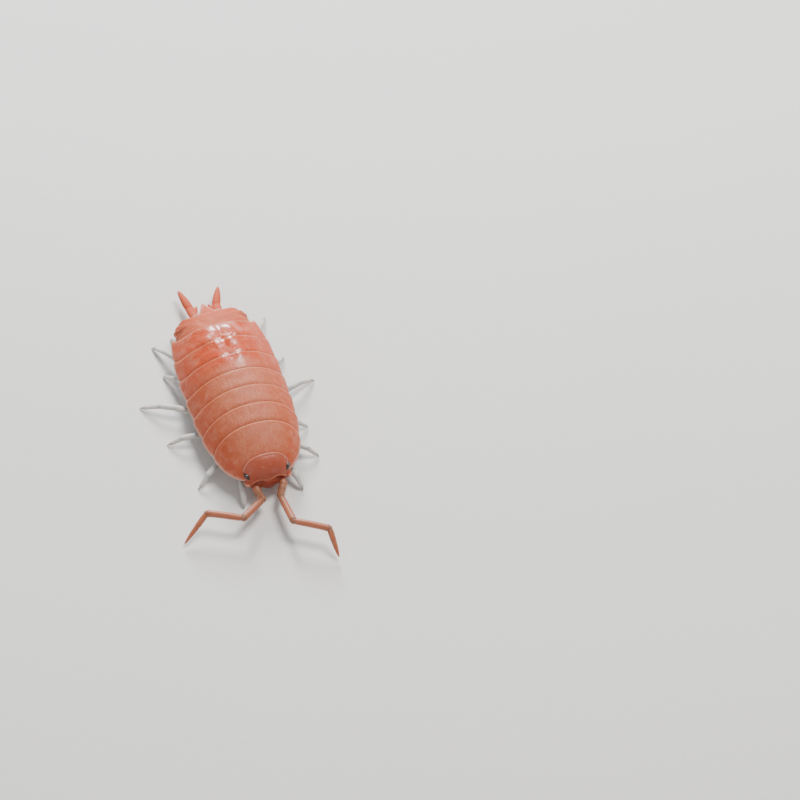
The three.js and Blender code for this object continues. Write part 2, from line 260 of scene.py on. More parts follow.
def joined(parts):
    """Points, faces and attributes of several (points, faces, attributes) in one."""
    points, faces, attributes, count = [], [], {}, 0
    keys = sorted({key for part in parts for key in (part[2] if len(part) > 2 else {})})
    for part in parts:
        at = np.asarray(part[0], float).reshape(-1, 3)
        values = part[2] if len(part) > 2 else {}
        points.append(at)
        faces += [tuple(v + count for v in face) for face in part[1]]
        for key in keys:
            own = values.get(key, 0.0)
            attributes.setdefault(key, []).append(np.broadcast_to(np.ravel(own), (len(at),)))
        count += len(at)
    return np.vstack(points), faces, {key: np.concatenate(value) for key, value in attributes.items()}


def grid_faces(rows, columns, start=0, wrap=False):
    faces = []
    for i in range(rows - 1):
        for k in range(columns if wrap else columns - 1):
            a, b = start + i * columns + k, start + i * columns + (k + 1) % columns
            faces.append((a, b, b + columns, a + columns))
    return faces


def sheet_between(top, bottom, bulge):
    """A closed thin sheet from two grids of points, with a rounded edge all round."""
    rows, columns = top.shape[:2]
    count = rows * columns
    faces = grid_faces(rows, columns)
    faces += [tuple(v + count for v in reversed(face)) for face in grid_faces(rows, columns)]
    ring = [(0, k) for k in range(columns)] + [(i, columns - 1) for i in range(1, rows)]
    ring += [(rows - 1, k) for k in range(columns - 2, -1, -1)] + [(i, 0) for i in range(rows - 2, 0, -1)]
    inner = [(min(max(i, 1), rows - 2), min(max(k, 1), columns - 2)) for i, k in ring]
    out = np.array([top[a] - top[b] for a, b in zip(ring, inner)])
    out /= np.maximum(1e-9, np.linalg.norm(out, axis=1))[:, None]
    edge = np.array([(top[a] + bottom[a]) / 2 for a in ring]) + bulge * out
    for n, (i, k) in enumerate(ring):
        m = (n + 1) % len(ring)
        a, b = i * columns + k, ring[m][0] * columns + ring[m][1]
        faces.append((b, a, 2 * count + n, 2 * count + m))
        faces.append((2 * count + m, 2 * count + n, a + count, b + count))
    points = np.vstack([top.reshape(-1, 3), bottom.reshape(-1, 3), edge])
    picks = [i * columns + k for i, k in ring]
    return points, faces, picks


def on_sheet(values, picks):
    """An attribute of a sheet's top grid, given to its bottom and its edge too."""
    flat = np.ravel(values)
    return np.concatenate([flat, flat, flat[picks]])


def tube(stations, sides=20, flat=1.0):
    """A closed tube through (point, radius) stations, flattened along up by flat."""
    points, centres = [], np.array([s[0] for s in stations], float)
    across = np.array((0, 0, 1), float)
    for n, (at, radius) in enumerate(stations):
        along = centres[min(n + 1, len(centres) - 1)] - centres[max(n - 1, 0)]
        along = along / max(1e-9, np.linalg.norm(along))
        across = across - along * (across @ along)
        across = across / max(1e-9, np.linalg.norm(across))
        other = np.cross(along, across)
        for k in range(sides):
            a = 2 * math.pi * k / sides
            points.append(at + radius * (flat * math.cos(a) * across + math.sin(a) * other))
    faces = grid_faces(len(stations), sides, wrap=True)
    last = (len(stations) - 1) * sides
    faces.append(tuple(range(sides - 1, -1, -1)))
    faces.append(tuple(range(last, last + sides)))
    return np.array(points), faces


def ball(centre, size, turn=(0, 0, 0), around=32, upwards=20):
    """A closed ellipsoid, turned by Euler angles."""
    about = [Matrix.Rotation(angle, 3, axis) for angle, axis in zip(turn, "XYZ")]
    turned = np.array(about[2] @ about[1] @ about[0])
    points = [(0, 0, -1)]
    for i in range(1, upwards):
        a = math.pi * (i / upwards - 0.5)
        for k in range(around):
            b = 2 * math.pi * k / around
            points.append((math.cos(a) * math.cos(b), math.cos(a) * math.sin(b), math.sin(a)))
    points.append((0, 0, 1))
    faces = grid_faces(upwards - 1, around, start=1, wrap=True)
    last = len(points) - 1
    faces += [(0, 1 + (k + 1) % around, 1 + k) for k in range(around)]
    first = last - around
    faces += [(last, first + k, first + (k + 1) % around) for k in range(around)]
    return (np.array(points) * np.array(size)) @ turned.T + np.array(centre), faces


def evaluated(obj):
    """The object's mesh with its modifiers in place, as a new mesh; the object is removed."""
    graph = bpy.context.evaluated_depsgraph_get()
    mesh = bpy.data.meshes.new_from_object(obj.evaluated_get(graph), depsgraph=graph)
    bpy.data.objects.remove(obj)
    return mesh


def one_skin(name, parts, voxel, rounds):
    """Several closed meshes melted into one skin. Returns its points in millimetres and its faces."""
    points, faces, _ = joined(parts)
    obj = new_object(name, points, faces, in_place=True, recalculate=False)
    melt = obj.modifiers.new("Melt", "REMESH")
    melt.mode = "VOXEL"
    melt.voxel_size = voxel
    calm = obj.modifiers.new("Calm", "SMOOTH")
    calm.factor = 0.5
    calm.iterations = rounds
    mesh = evaluated(obj)
    at = np.zeros(len(mesh.vertices) * 3)
    mesh.vertices.foreach_get("co", at)
    found = [tuple(p.vertices) for p in mesh.polygons]
    bpy.data.meshes.remove(mesh)
    return at.reshape(-1, 3), found


def nearest(points, line):
    """Distance of each point from a polyline."""
    best = np.full(len(points), 1e9)
    for a, b in zip(line[:-1], line[1:]):
        along = b - a
        t = np.clip((points - a) @ along / max(1e-12, along @ along), 0, 1)
        best = np.minimum(best, np.linalg.norm(points - a - t[:, None] * along, axis=1))
    return best


def merged(name, meshes):
    """One smooth mesh object from several meshes, which stay as they are."""
    bm = bmesh.new()
    for mesh in meshes:
        bm.from_mesh(mesh)
    mesh = bpy.data.meshes.new(name)
    bm.to_mesh(mesh)
    bm.free()
    mesh.shade_smooth()
    obj = bpy.data.objects.new(name, mesh)
    bpy.context.scene.collection.objects.link(obj)
    return obj


def finish_piece(obj, material, slot, *nodes):
    """Paints a piece, ties it to the body and hides the nodes that it stands for."""
    obj.data.materials.clear()
    obj.data.materials.append(material)
    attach(obj, "root")
    if nodes:
        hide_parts(*nodes)


# Nodes of materials and of geometry


class Tree:
    """A node tree, with one call for any node."""

    def __init__(self, tree):
        self.tree = tree

    def node(self, kind, settings=None, **sockets):
        """Adds a node. Settings come first. A socket goes by its label with _ for a space, or by in0."""
        made = self.tree.nodes.new(kind)
        for key, value in (settings or {}).items():
            setattr(made, key, value)
        for key, value in sockets.items():
            number = key[2:]
            socket = made.inputs[int(number)] if key[:2] == "in" and number.isdigit() else None
            socket = socket or made.inputs[key.replace("_", " ")]
            self.feed(socket, value)
        return made

    def feed(self, socket, value):
        if isinstance(value, Value):
            value = value.socket
        if isinstance(value, bpy.types.NodeSocket):
            self.tree.links.new(value, socket)
        else:
            socket.default_value = value

    def value(self, socket):
        return Value(self, socket)


class Value:
    """A number that a socket gives. Sums on it add Math nodes."""

    def __init__(self, owner, socket):
        self.owner = owner
        self.socket = socket

    def maths(self, operation, *others):
        sockets = {f"in{n}": v for n, v in enumerate(others)}
        made = self.owner.node("ShaderNodeMath", {"operation": operation}, **sockets)
        return Value(self.owner, made.outputs[0])

    def __add__(self, other):
        return self.maths("ADD", self, other)

    __radd__ = __add__

    def __sub__(self, other):
        return self.maths("SUBTRACT", self, other)

    def __rsub__(self, other):
        return self.maths("SUBTRACT", other, self)

    def __mul__(self, other):
        return self.maths("MULTIPLY", self, other)

    __rmul__ = __mul__

    def ramp(self, low, high):
        """0 below low, 1 above high, smooth between. Falls if low is above high."""
        rising = low < high
        settings = {"interpolation_type": "SMOOTHSTEP"}
        ends = (low, high) if rising else (high, low)
        sockets = {"Value": self, "From_Min": ends[0], "From_Max": ends[1], "To_Min": 0.0, "To_Max": 1.0}
        made = self.owner.node("ShaderNodeMapRange", settings, **sockets)
        found = Value(self.owner, made.outputs["Result"])
        return found if rising else 1 - found


class Paint(Tree):
    """A material whose patterns are laid out in the body's millimetres."""

    def __init__(self, name):
        self.material = bpy.data.materials.new(name)
        self.material.use_nodes = True
        super().__init__(self.material.node_tree)
        self.shader = self.tree.nodes["Principled BSDF"]
        to_body = {"Scale": (1 / MM,) * 3, "Location": tuple(-SHIFT)}
        coordinates = self.node("ShaderNodeTexCoord").outputs["Object"]
        self.at = self.node("ShaderNodeMapping", Vector=coordinates, **to_body).outputs[0]
        self.y = self.value(self.node("ShaderNodeSeparateXYZ", Vector=self.at).outputs["Y"])

    def attribute(self, name):
        return self.value(self.node("ShaderNodeAttribute", {"attribute_name": name}).outputs["Fac"])

    def noise(self, per_mm, detail=3.0, roughness=0.55, stretch=(1, 1, 1), distortion=0.0):
        at = self.node("ShaderNodeMapping", Vector=self.at, Scale=stretch).outputs[0]
        grain = {"Scale": per_mm, "Detail": detail, "Roughness": roughness, "Distortion": distortion}
        return self.value(self.node("ShaderNodeTexNoise", Vector=at, **grain).outputs["Fac"])

    def cells(self, per_mm):
        settings = {"feature": "F1"}
        made = self.node("ShaderNodeTexVoronoi", settings, Vector=self.at, Scale=per_mm, Randomness=1.0)
        return self.value(made.outputs["Distance"])

    def blend(self, factor, low, high):
        """Mixes two colours. A colour is a link, or a property or tuple of three numbers."""
        made = self.node("ShaderNodeMix", {"data_type": "RGBA", "blend_type": "MIX"})
        for socket, value in ((made.inputs[0], factor), (made.inputs[6], low), (made.inputs[7], high)):
            if isinstance(value, (tuple, Color)):
                value = (*value, 1)
            self.feed(socket, value)
        return made.outputs[2]

    def patches(self, base, noise, ends, strength, over):
        """Lays a colour over base where the noise is high."""
        return self.blend(self.noise(*noise).ramp(*ends) * strength, base, over)

    def finish(self, colour, roughness, heights=(), coat=None, **constants):
        """Links colour, roughness and a chain of (height, millimetres) bumps, and sets the other sockets."""
        self.feed(self.shader.inputs["Base Color"], colour)
        self.feed(self.shader.inputs["Roughness"], roughness)
        if coat is not None:
            self.feed(self.shader.inputs["Coat Weight"], coat)
        normal = None
        for height, depth in heights:
            bump = self.node("ShaderNodeBump", Height=height, Distance=depth * MM, Strength=1.0)
            if normal:
                self.feed(bump.inputs["Normal"], normal)
            normal = bump.outputs[0]
        if normal:
            self.feed(self.shader.inputs["Normal"], normal)
        for key, value in constants.items():
            self.shader.inputs[key.replace("_", " ")].default_value = value
        return self.material


def flesh(amount):
    """Constant sockets of a slightly translucent skin."""
    return {
        "Subsurface_Weight": amount,
        "Subsurface_Radius": (1.0, 0.42, 0.28),
        "Subsurface_Scale": 0.55 * MM,
        "IOR": 1.45,
    }


# What a user would change


def colour(name, description, default):
    return bpy.props.FloatVectorProperty(
        name=name, description=description, default=default, subtype="COLOR", size=3, min=0, max=1
    )


def length(name, description, default):
    """A length in metres; the default is given in millimetres."""
    return bpy.props.FloatProperty(
        name=name, description=description, default=default * MM, unit="LENGTH", min=0, precision=5
    )


def angle(name, description, degrees):
    default = math.radians(degrees)
    return bpy.props.FloatProperty(name=name, description=description, default=default, subtype="ANGLE")


class WoodlouseShell(bpy.types.PropertyGroup):
    thickness: length("Shell thickness", "Thickness of each plate", 0.12)
    step: length("Step", "How far each plate's rear edge stands above the next plate", 0.06)
    middle: colour("Middle", "Bloom along the middle of the front plates", (0.56, 0.15, 0.066))
    side: colour("Sides", "Sides of the plates", (0.50, 0.082, 0.021))
    rear: colour("Rear", "Glossy plates before the pleon", (0.62, 0.07, 0.016))
    tail: colour("Pleon", "Pleon, telson and uropods", (0.53, 0.095, 0.04))
    line: colour("Edge line", "Thin pale line along each rear edge", (0.72, 0.29, 0.14))
    rim: colour("Rim", "Pale lateral rim", (0.72, 0.42, 0.33))


class WoodlouseHead(bpy.types.PropertyGroup):
    skin: colour("Head", "Top of the head", (0.40, 0.075, 0.034))
    face: colour("Face", "Front of the head under the frontal line", (0.25, 0.032, 0.008))
    line: colour("Frontal line", "Pale line across the forehead and rim of the lobes", (0.74, 0.34, 0.22))
    eye: colour("Eye", "Beads of the eyes", (0.012, 0.009, 0.008))
    bead: length("Ocellus radius", "Radius of one bead of an eye", 0.052)


class WoodlouseLimbs(bpy.types.PropertyGroup):
    antenna: colour("Antenna", "Outer articles of the antennae", (0.42, 0.135, 0.065))
    # Besides the pale joints, this colour paints a highlight along the upper side of each antenna article
    pale: colour("Antenna base", "Pale articles and joints of the antennae", (0.30, 0.125, 0.07))
    leg: colour("Leg", "Whitish legs", (0.38, 0.345, 0.31))
    belly: colour("Belly", "Underside between the legs", (0.62, 0.42, 0.33))
    bristle: length("Bristle", "Length of the longest bristles", 0.2)
    bristles_per_mm2: bpy.props.FloatProperty(
        name="Bristles", description="Fine hairs on each square millimetre of a limb", default=9.0, min=0
    )


class WoodlouseStage(bpy.types.PropertyGroup):
    floor: colour("Floor", "Plain floor", (0.80, 0.79, 0.77))
    azimuth: angle("Azimuth", "Camera's turn round the object", -18)
    elevation: angle("Elevation", "Camera's height angle", 55)
    distance: length("Distance", "From the camera to the point it looks at", 450)
    span: length("Span", "Width that the picture shows at that point", 57.3)


GROUPS = {
    "woodlouse_shell": WoodlouseShell,
    "woodlouse_head": WoodlouseHead,
    "woodlouse_limbs": WoodlouseLimbs,
    "woodlouse_stage": WoodlouseStage,
}


# Paints


def shell_paint(shell):
    """Salmon shell: dull bloom in front, redder and glossy behind, a pale line along each rear edge, and
    painted shade where each plate comes out from under the one before.
    """
    p = Paint("shell_finish")
    side, rear, rim = (p.attribute(key) for key in ("side", "rear", "rim"))
    behind = (p.y + p.noise(0.9, 2) * 1.6).ramp(0.2, 2.4)
    flank = (side + (p.noise(0.8, 3) - 0.5) * 0.35).ramp(0.38, 0.82)
    front = p.blend(flank, shell.middle, shell.side)
    back = p.blend(flank * 0.35, shell.rear, shell.side)
    base = p.blend(behind, front, back)
    base = p.patches(base, (1.7, 5, 0.6), (0.42, 0.72), 0.45, (0.66, 0.24, 0.14))
    base = p.patches(base, (1.1, 4, 0.6), (0.48, 0.7), 0.4, (0.52, 0.075, 0.022))
    base = p.patches(base, (6.5, 4, 0.65), (0.46, 0.76), 0.45, (0.36, 0.055, 0.018))
    # Dust and short streaks lie on the dull middle of the front plates
    dull = (1 - behind) * flank.ramp(1.0, 0.1)
    base = p.patches(base, (16, 3, 0.7), (0.52, 0.74), dull * 0.4, (0.66, 0.42, 0.33))
    base = p.patches(base, (4.2, 4, 0.65, (1.6, 0.4, 1)), (0.44, 0.66), dull * 0.5, (0.50, 0.09, 0.034))
    base = p.blend(rear.ramp(0.42, 0.07) * 0.3, base, (0.50, 0.085, 0.028))
    # Painted shade on each plate's front where it comes out from under the plate before
    base = p.blend(p.attribute("bared").ramp(0.3, 0.02) * 0.6, base, (0.34, 0.045, 0.015))
    base = p.blend(rear.ramp(0.085, 0.02) * 0.5, base, shell.line)
    fringe = (rim + (p.noise(3, 3) - 0.5) * 0.2).ramp(0.34, 0.04)
    base = p.blend(fringe * 0.75, base, shell.rim)
    patchy = (p.noise(1.6, 3) - 0.5) * 0.5
    wet = behind * (1 - rim.ramp(0.9, 0.2)) * (side + patchy).ramp(0.8, 0.4)
    rough = 0.56 - wet * 0.33 + (p.noise(5, 3) - 0.5) * 0.12
    granules = p.cells(9).ramp(0.0, 0.55)
    wrinkles = p.noise(3.4, 4, 0.62, stretch=(1.7, 0.5, 1))
    blotches = p.noise(1.5, 2, 0.5, distortion=0.4)
    heights = [(blotches, 0.05), (wrinkles, 0.034), (granules, 0.006), (p.noise(24, 2), 0.006)]
    return p.finish(base, rough, heights, coat=wet * 0.8, **flesh(0.22), Coat_Roughness=0.2)


def tail_paint(shell):
    p = Paint("tail_finish")
    rear, rim = p.attribute("rear"), p.attribute("rim")
    pale = (0.70, 0.36, 0.27)
    base = p.patches(shell.tail, (1.8, 5, 0.6), (0.4, 0.75), 0.5, (0.50, 0.075, 0.028))
    base = p.patches(base, (9, 4, 0.7), (0.5, 0.8), 0.25, pale)
    # Painted shade on each pleon plate's front where it comes out from under the plate before
    base = p.blend(p.attribute("bared").ramp(0.14, 0.0) * 0.55, base, (0.36, 0.06, 0.025))
    base = p.blend(rear.ramp(0.06, 0.015) * 0.5, base, shell.line)
    base = p.blend((rim + (p.noise(3, 3) - 0.5) * 0.2).ramp(0.4, 0.03) * 0.6, base, pale)
    heights = [(p.noise(3, 3), 0.025), (p.cells(8).ramp(0.0, 0.55), 0.007), (p.noise(22, 2), 0.006)]
    rough = 0.6 + (p.noise(6, 3) - 0.5) * 0.15
    return p.finish(base, rough, heights, **flesh(0.22), Specular_IOR_Level=0.2)


def head_paint(head):
    p = Paint("head_finish")
    line, face = p.attribute("line"), p.attribute("face")
    base = p.blend(face, head.skin, head.face)
    base = p.patches(base, (2.4, 5, 0.6), (0.42, 0.75), 0.45, (0.50, 0.13, 0.065))
    spots = p.cells(3.4).ramp(0.17, 0.06) * p.noise(1.6, 1).ramp(0.42, 0.55) * (1 - face)
    base = p.blend(spots * 0.8, base, (0.74, 0.40, 0.30))
    base = p.patches(base, (12, 3, 0.7), (0.55, 0.8), 0.25, (0.62, 0.25, 0.16))
    base = p.blend(line.ramp(0.12, 0.02) * 0.8, base, head.line)
    heights = [(p.noise(3.5, 3), 0.03), (p.cells(10).ramp(0.0, 0.55), 0.006), (p.noise(28, 2), 0.004)]
    return p.finish(base, 0.40 + (p.noise(7, 3) - 0.5) * 0.16, heights, **flesh(0.22))


def limb_paint(name, main, pale, streak):
    """Skin of a limb. The pale attribute whitens its joints and first articles, and on the antennae also
    paints a highlight along the upper side of each article.
    """
    p = Paint(name + "_finish")
    base = p.patches(main, (3.2, 4, 0.6), (0.4, 0.75), 0.45, streak)
    base = p.blend((p.attribute("pale") + (p.noise(4.5, 3) - 0.5) * 0.5).ramp(0.15, 0.8), base, pale)
    heights = [(p.noise(6, 3), 0.012), (p.noise(24, 2), 0.004)]
    return p.finish(base, 0.38 + (p.noise(8, 3) - 0.5) * 0.14, heights, **flesh(0.3))


def belly_paint(limbs):
    p = Paint("belly_finish")
    base = p.blend(p.noise(1.6, 4).ramp(0.35, 0.75), limbs.belly, (0.60, 0.36, 0.28))
    base = p.patches(base, (9, 3), (0.55, 0.8), 0.4, (0.74, 0.64, 0.57))
    heights = [(p.noise(4, 4), 0.03), (p.noise(20, 2), 0.006)]
    return p.finish(base, 0.45 + p.noise(6) * 0.1, heights, **flesh(0.3))


def eye_paint(head):
    p = Paint("eye_finish")
    base = p.blend(p.noise(9, 2).ramp(0.4, 0.7), head.eye, (0.035, 0.02, 0.015))
    rough = 0.12 + p.noise(10) * 0.1
    return p.finish(base, rough, [(p.noise(30, 2), 0.002)], Coat_Weight=0.6, Coat_Roughness=0.08)


def floor_paint(stage):
    p = Paint("floor_finish")
    base = p.patches(stage.floor, (0.05, 4), (0.3, 0.8), 0.25, (0.76, 0.75, 0.73))
    return p.finish(base, 0.75 + p.noise(0.6, 3) * 0.1, [(p.noise(1.2, 4), 0.02)])


# Plates


def plate_sheet(
    front, rear, half_at, top_at, size, thick, sunk, drawn, lap, flare, scallop, dip=0.0, curve=arch
):
    """Points, faces and attributes of one arched plate.

    front and rear give y for each place across, half_at and top_at its half width and height at y, and size
    its points across and along. The hidden front is lowered by sunk and narrowed by drawn, and lies under
    the plate before for lap. The rear rises by flare, the front dips by dip where the plate comes into
    sight, and its lateral edge rises by scallop at both ends.
    """
    a = np.linspace(-1, 1, size[0])[None, :]
    t = np.linspace(0, 1, size[1])[:, None] ** 0.85
    g = np.sin(a * math.pi / 2)
    y = mix(front(a), rear(a), t)
    hidden = (1 - t) ** 2
    corner = 0.07 * smooth(0.86, 1.0, t) ** 2 * smooth(0.7, 1, np.abs(g))
    half = half_at(y) - drawn * hidden - corner
    bared = y - front(a) - lap
    top = top_at(y) - (sunk(a) if callable(sunk) else sunk) * hidden + flare * smooth(0.6, 1.0, t)
    top = top - dip * (1 - smooth(-0.05, 0.4, bared))
    x = half * g
    z = EDGE_Z + (top - EDGE_Z) * curve(g) + lumps(x, y)
    # The lateral edge hangs lowest in its middle
    shown = np.clip(bared / (rear(a) - front(a) - lap), 0, 1)
    z = z + scallop * np.abs(g) ** 10 * (1 - 4 * shown * (1 - shown))
    upper = np.stack([x, y, z], axis=2)
    # The lower side lies in along the surface's own normal, less at the edges
    dx, dy = np.gradient(upper, axis=1), np.gradient(upper, axis=0)
    normal = np.cross(dx, dy)
    normal /= np.maximum(1e-9, np.linalg.norm(normal, axis=2))[..., None]
    thin = thick * (1 - 0.5 * smooth(0.9, 1.0, t)) * (1 - 0.45 * smooth(0.93, 1.0, np.abs(a)))
    lower = upper - normal * thin[..., None]
    points, faces, picks = sheet_between(upper, lower, 0.02)
    girth = np.cumsum(np.linalg.norm(np.diff(upper, axis=1, prepend=upper[:, :1]), axis=2), axis=1)
    rim = np.minimum(girth, girth[:, -1:] - girth)
    attributes = {
        "side": on_sheet(np.broadcast_to(np.abs(g), y.shape), picks),
        "rear": on_sheet(rear(a) + 0 * t - y, picks),
        "rim": on_sheet(rim, picks),
        "bared": on_sheet(bared, picks),
    }
    return points, faces, attributes


def seam(rear, corner, a):
    """Rear edge of a plate: it bends back towards its blunt corners."""
    return rear + corner * (np.abs(a) ** 3 - 0.22 * smooth(0.84, 1.0, np.abs(a)) ** 2)


def neck_y(x):
    """Where the head's rear edge lies: nearly straight, with rounded corners."""
    return NECK_Y - NECK_LAP - NECK_BEND * np.minimum(1, np.abs(x) / NECK_HALF) ** 5


def at_neck(a):
    """Distance from the midline at the front edge of the first plate."""
    return 2.2 * np.abs(np.sin(a * math.pi / 2))


def neck_edge(a):
    """Front edge of the first plate: under the head's rear edge, with a lobe beside each eye."""
    return neck_y(at_neck(a)) - 0.12 - 0.4 * smooth(1.64, 1.86, at_neck(a))


def neck_sink(a):
    """How far the first plate lies under the head."""
    return 0.14 * (1 - smooth(1.5, 1.8, at_neck(a)))


def thorax_plate(n, shell):
    thick = shell.thickness / MM
    if n == 0:
        front, hidden = neck_edge, {"sunk": neck_sink, "drawn": 0.0, "lap": 0.12}
    else:
        hidden = {"sunk": shell.step / MM + thick, "drawn": 0.13, "lap": 0.4, "dip": 0.07}

        def front(a):
            return seam(*PLATES[n - 1], a) - OVERLAP * (1 - 0.25 * np.abs(a))

    def rear(a):
        return seam(*PLATES[n], a)

    return plate_sheet(front, rear, outline, ridge, (141, 41), thick, flare=0.05, scallop=0.13, **hidden)


class WOODLOUSE_OT_plates(bpy.types.Operator):
    """Seven overlapping plates of the thorax"""

    bl_idname = "woodlouse.plates"
    bl_label = "Thoracic plates"

    def execute(self, context):
        shell = context.scene.woodlouse_shell
        paint = shell_paint(shell)
        for n in range(len(PLATES)):
            obj = new_object(f"plate_{n + 1}", *thorax_plate(n, shell))
            finish_piece(obj, paint, "shell", f"thorax_plate_{n + 1}")
        return {"FINISHED"}


def tail_material(scene):
    return bpy.data.materials.get("tail_finish") or tail_paint(scene.woodlouse_shell)


def pleon_seam(plate, a):
    """Rear edge of a plate of the pleon, as for the thorax, with longer corners."""
    rear, _, corner = plate
    return rear + (corner - rear) * np.abs(np.sin(a * math.pi / 2)) ** PLEON_CORNER_POWER


def pleon_arch(g):
    """Section of the pleon: flatter above and steeper at the sides than the thorax."""
    return (1 - np.minimum(1, np.abs(g)) ** PLEON_ARCH_POWER) ** PLEON_ARCH_SHAPE


def pleon_top(y):
    """Height of the pleon's back, which falls to its end in an even slope."""
    return ridge(np.minimum(y, PLEON_BEND_Y)) - 0.05 - PLEON_FALL * np.maximum(0.0, y - PLEON_BEND_Y)


def pleon_plate(before, plate):
    _, half, corner = plate

    def half_at(y):
        return np.interp(y, [before[2] - 0.6, before[2], corner], [before[1], before[1] - 0.1, half])

    def front(a):
        return pleon_seam(before, a) - PLEON_LAP

    def rear(a):
        return pleon_seam(plate, a)

    form = {"sunk": 0.11, "drawn": 0.06, "lap": PLEON_LAP, "flare": 0.02, "scallop": 0.06}
    size, thick = (121, 17), PLEON_THICKNESS
    return plate_sheet(front, rear, half_at, pleon_top, size, thick, **form, curve=pleon_arch)


class WOODLOUSE_OT_pleon(bpy.types.Operator):
    """Five short plates behind the thorax, the last three with pointed corners"""

    bl_idname = "woodlouse.pleon"
    bl_label = "Pleon"

    def execute(self, context):
        parts = [pleon_plate(before, plate) for before, plate in zip([PLEON_ROOT, *PLEON], PLEON)]
        obj = new_object("pleon_plates", *joined(parts))
        finish_piece(obj, tail_material(context.scene), "tail", "pleon")
        return {"FINISHED"}


class WOODLOUSE_OT_telson(bpy.types.Operator):
    """Pointed telson with hollow sides"""

    bl_idname = "woodlouse.telson"
    bl_label = "Telson"

    def execute(self, context):
        t = np.linspace(0, 1, 25)[:, None]
        a = np.linspace(-1, 1, 33)[None, :]
        half = TELSON_TIP_HALF + TELSON_SPREAD * (1 - t) ** 1.35
        y = TELSON_FRONT_Y + (TELSON_TIP_Y - TELSON_FRONT_Y) * t + 0 * a
        top = TELSON_TOP - TELSON_FALL * t**1.1
        z = top - 0.42 * half * np.abs(a) ** 2 - 0.1 * smooth(0.5, 1, np.abs(a)) * (1 - t)
        upper = np.stack([half * a, y, z], axis=2)
        thick = 0.12 + 0.14 * (1 - np.abs(a)) * (1 - t)
        lower = upper - np.array([0, 0.0, 1.0]) * thick[..., None]
        points, faces, picks = sheet_between(upper, lower, 0.03)
        attributes = {
            "bared": np.full(len(points), 1.0),
            "rear": on_sheet(TELSON_TIP_Y - y, picks),
            "rim": on_sheet((1 - np.abs(a)) * half, picks),
        }
        obj = new_object("telson_plate", points, faces, attributes)
        finish_piece(obj, tail_material(context.scene), "tail", "telson")
        return {"FINISHED"}


def stations(start, end, radii):
    """Stations of a straight tube. radii are (share of the way, radius) pairs."""
    return [(mix(start, end, t), radius) for t, radius in radii]


class WOODLOUSE_OT_uropods(bpy.types.Operator):
    """Two pointed uropods, each with its short inner branch"""

    bl_idname = "woodlouse.uropods"
    bl_label = "Uropods"

    def execute(self, context):
        for word in SIDES:
            root, elbow, tip, inner_tip = (np.array(p) for p in UROPODS[word])
            hip = root + np.array([-0.15 * np.sign(root[0]), -0.9, 0.4])
            inner_root = root + np.array([-0.3 * np.sign(root[0]), 0.0, 0.1])
            parts = [
                tube(stations(hip, elbow, UROPOD_BASE), flat=0.75),
                tube(stations(elbow, tip, UROPOD_OUTER)),
                tube(stations(inner_root, inner_tip, UROPOD_INNER), flat=0.8),
            ]
            points, faces = one_skin("uropod", parts, UROPOD_GRAIN, rounds=4)
            plain = np.full(len(points), 1.0)
            attributes = {"rear": plain, "bared": plain, "rim": tip[1] - points[:, 1]}
            obj = new_object(f"uropod_{word}_skin", points, faces, attributes, recalculate=False)
            finish_piece(obj, tail_material(context.scene), "tail", f"uropod_{word}")
        return {"FINISHED"}


# Head


def frontal_line():
    """The wavy line across the forehead, from lobe to lobe."""
    x = np.linspace(-BROW_HALF, BROW_HALF, 61)
    u = np.abs(x) / BROW_HALF
    wave = 0.5 - 0.5 * np.cos(u * 2.3 * math.pi)
    y = BROW_Y + 0.1 * wave * (1 - 0.3 * u) + 0.12 * u**3
    z = BROW_Z + 0.1 * wave - 0.26 * smooth(0.6, 1.0, u)
    return np.stack([x, y, z], axis=1)


def neck_line():
    """The rear edge of the head."""
    x = NECK_HALF * np.sin(np.linspace(-1, 1, 61) * math.pi / 2)
    y = neck_y(x)
    return np.stack([x, y, back_height(x, y) + 0.03], axis=1)


def head_parts():
    """The domed top between the neck and the frontal line, with their raised lines, and the face below."""
    neck, brow = neck_line(), frontal_line()
    rows = 30
    grid = []
    for i in range(rows):
        t = i / (rows - 1)
        row = mix(neck, brow, t)
        u = np.abs(row[:, 0]) / 1.62
        dome = [0.02 * np.sign(row[:, 0]) * u**2, -0.28 * (1 - 0.5 * u**2), 0.25 * (1 - 0.6 * u**2)]
        grid.append(row + math.sin(math.pi * t) ** 0.8 * np.stack(dome, axis=1))
    upper = np.array(grid)
    lower = upper * np.array([0.86, 1, 1]) + np.array([0, 0.28, -0.6])
    lower[:, :, 2] = np.minimum(lower[:, :, 2], 1.6)
    parts = [sheet_between(upper, lower, 0.02)[:2]]
    for line, ahead in ((brow, -0.03), (neck, 0.02)):
        parts.append(tube([(p + (0, ahead, 0.0), 0.07) for p in line[::2]], sides=10))
    # Forehead, mouth and face, then the lobe, the antenna's root and the cheek of each side
    parts.append(ball((0, -7.62, 1.22), (1.12, 0.66, 0.5)))
    parts.append(ball((0, -7.75, 0.98), (0.6, 0.5, 0.36)))
    parts.append(ball((0, -7.3, 1.45), (1.42, 0.62, 0.7)))
    for side in (-1, 1):
        parts.append(ball((side * 1.5, -7.78, 1.44), (0.24, 0.3, 0.2), (0.3, 0, -side * 0.5)))
        parts.append(ball((side * 0.98, -7.86, 1.08), (0.33, 0.3, 0.33)))
        parts.append(ball((side * 1.2, -7.25, 1.4), (0.42, 0.5, 0.5)))
    return parts


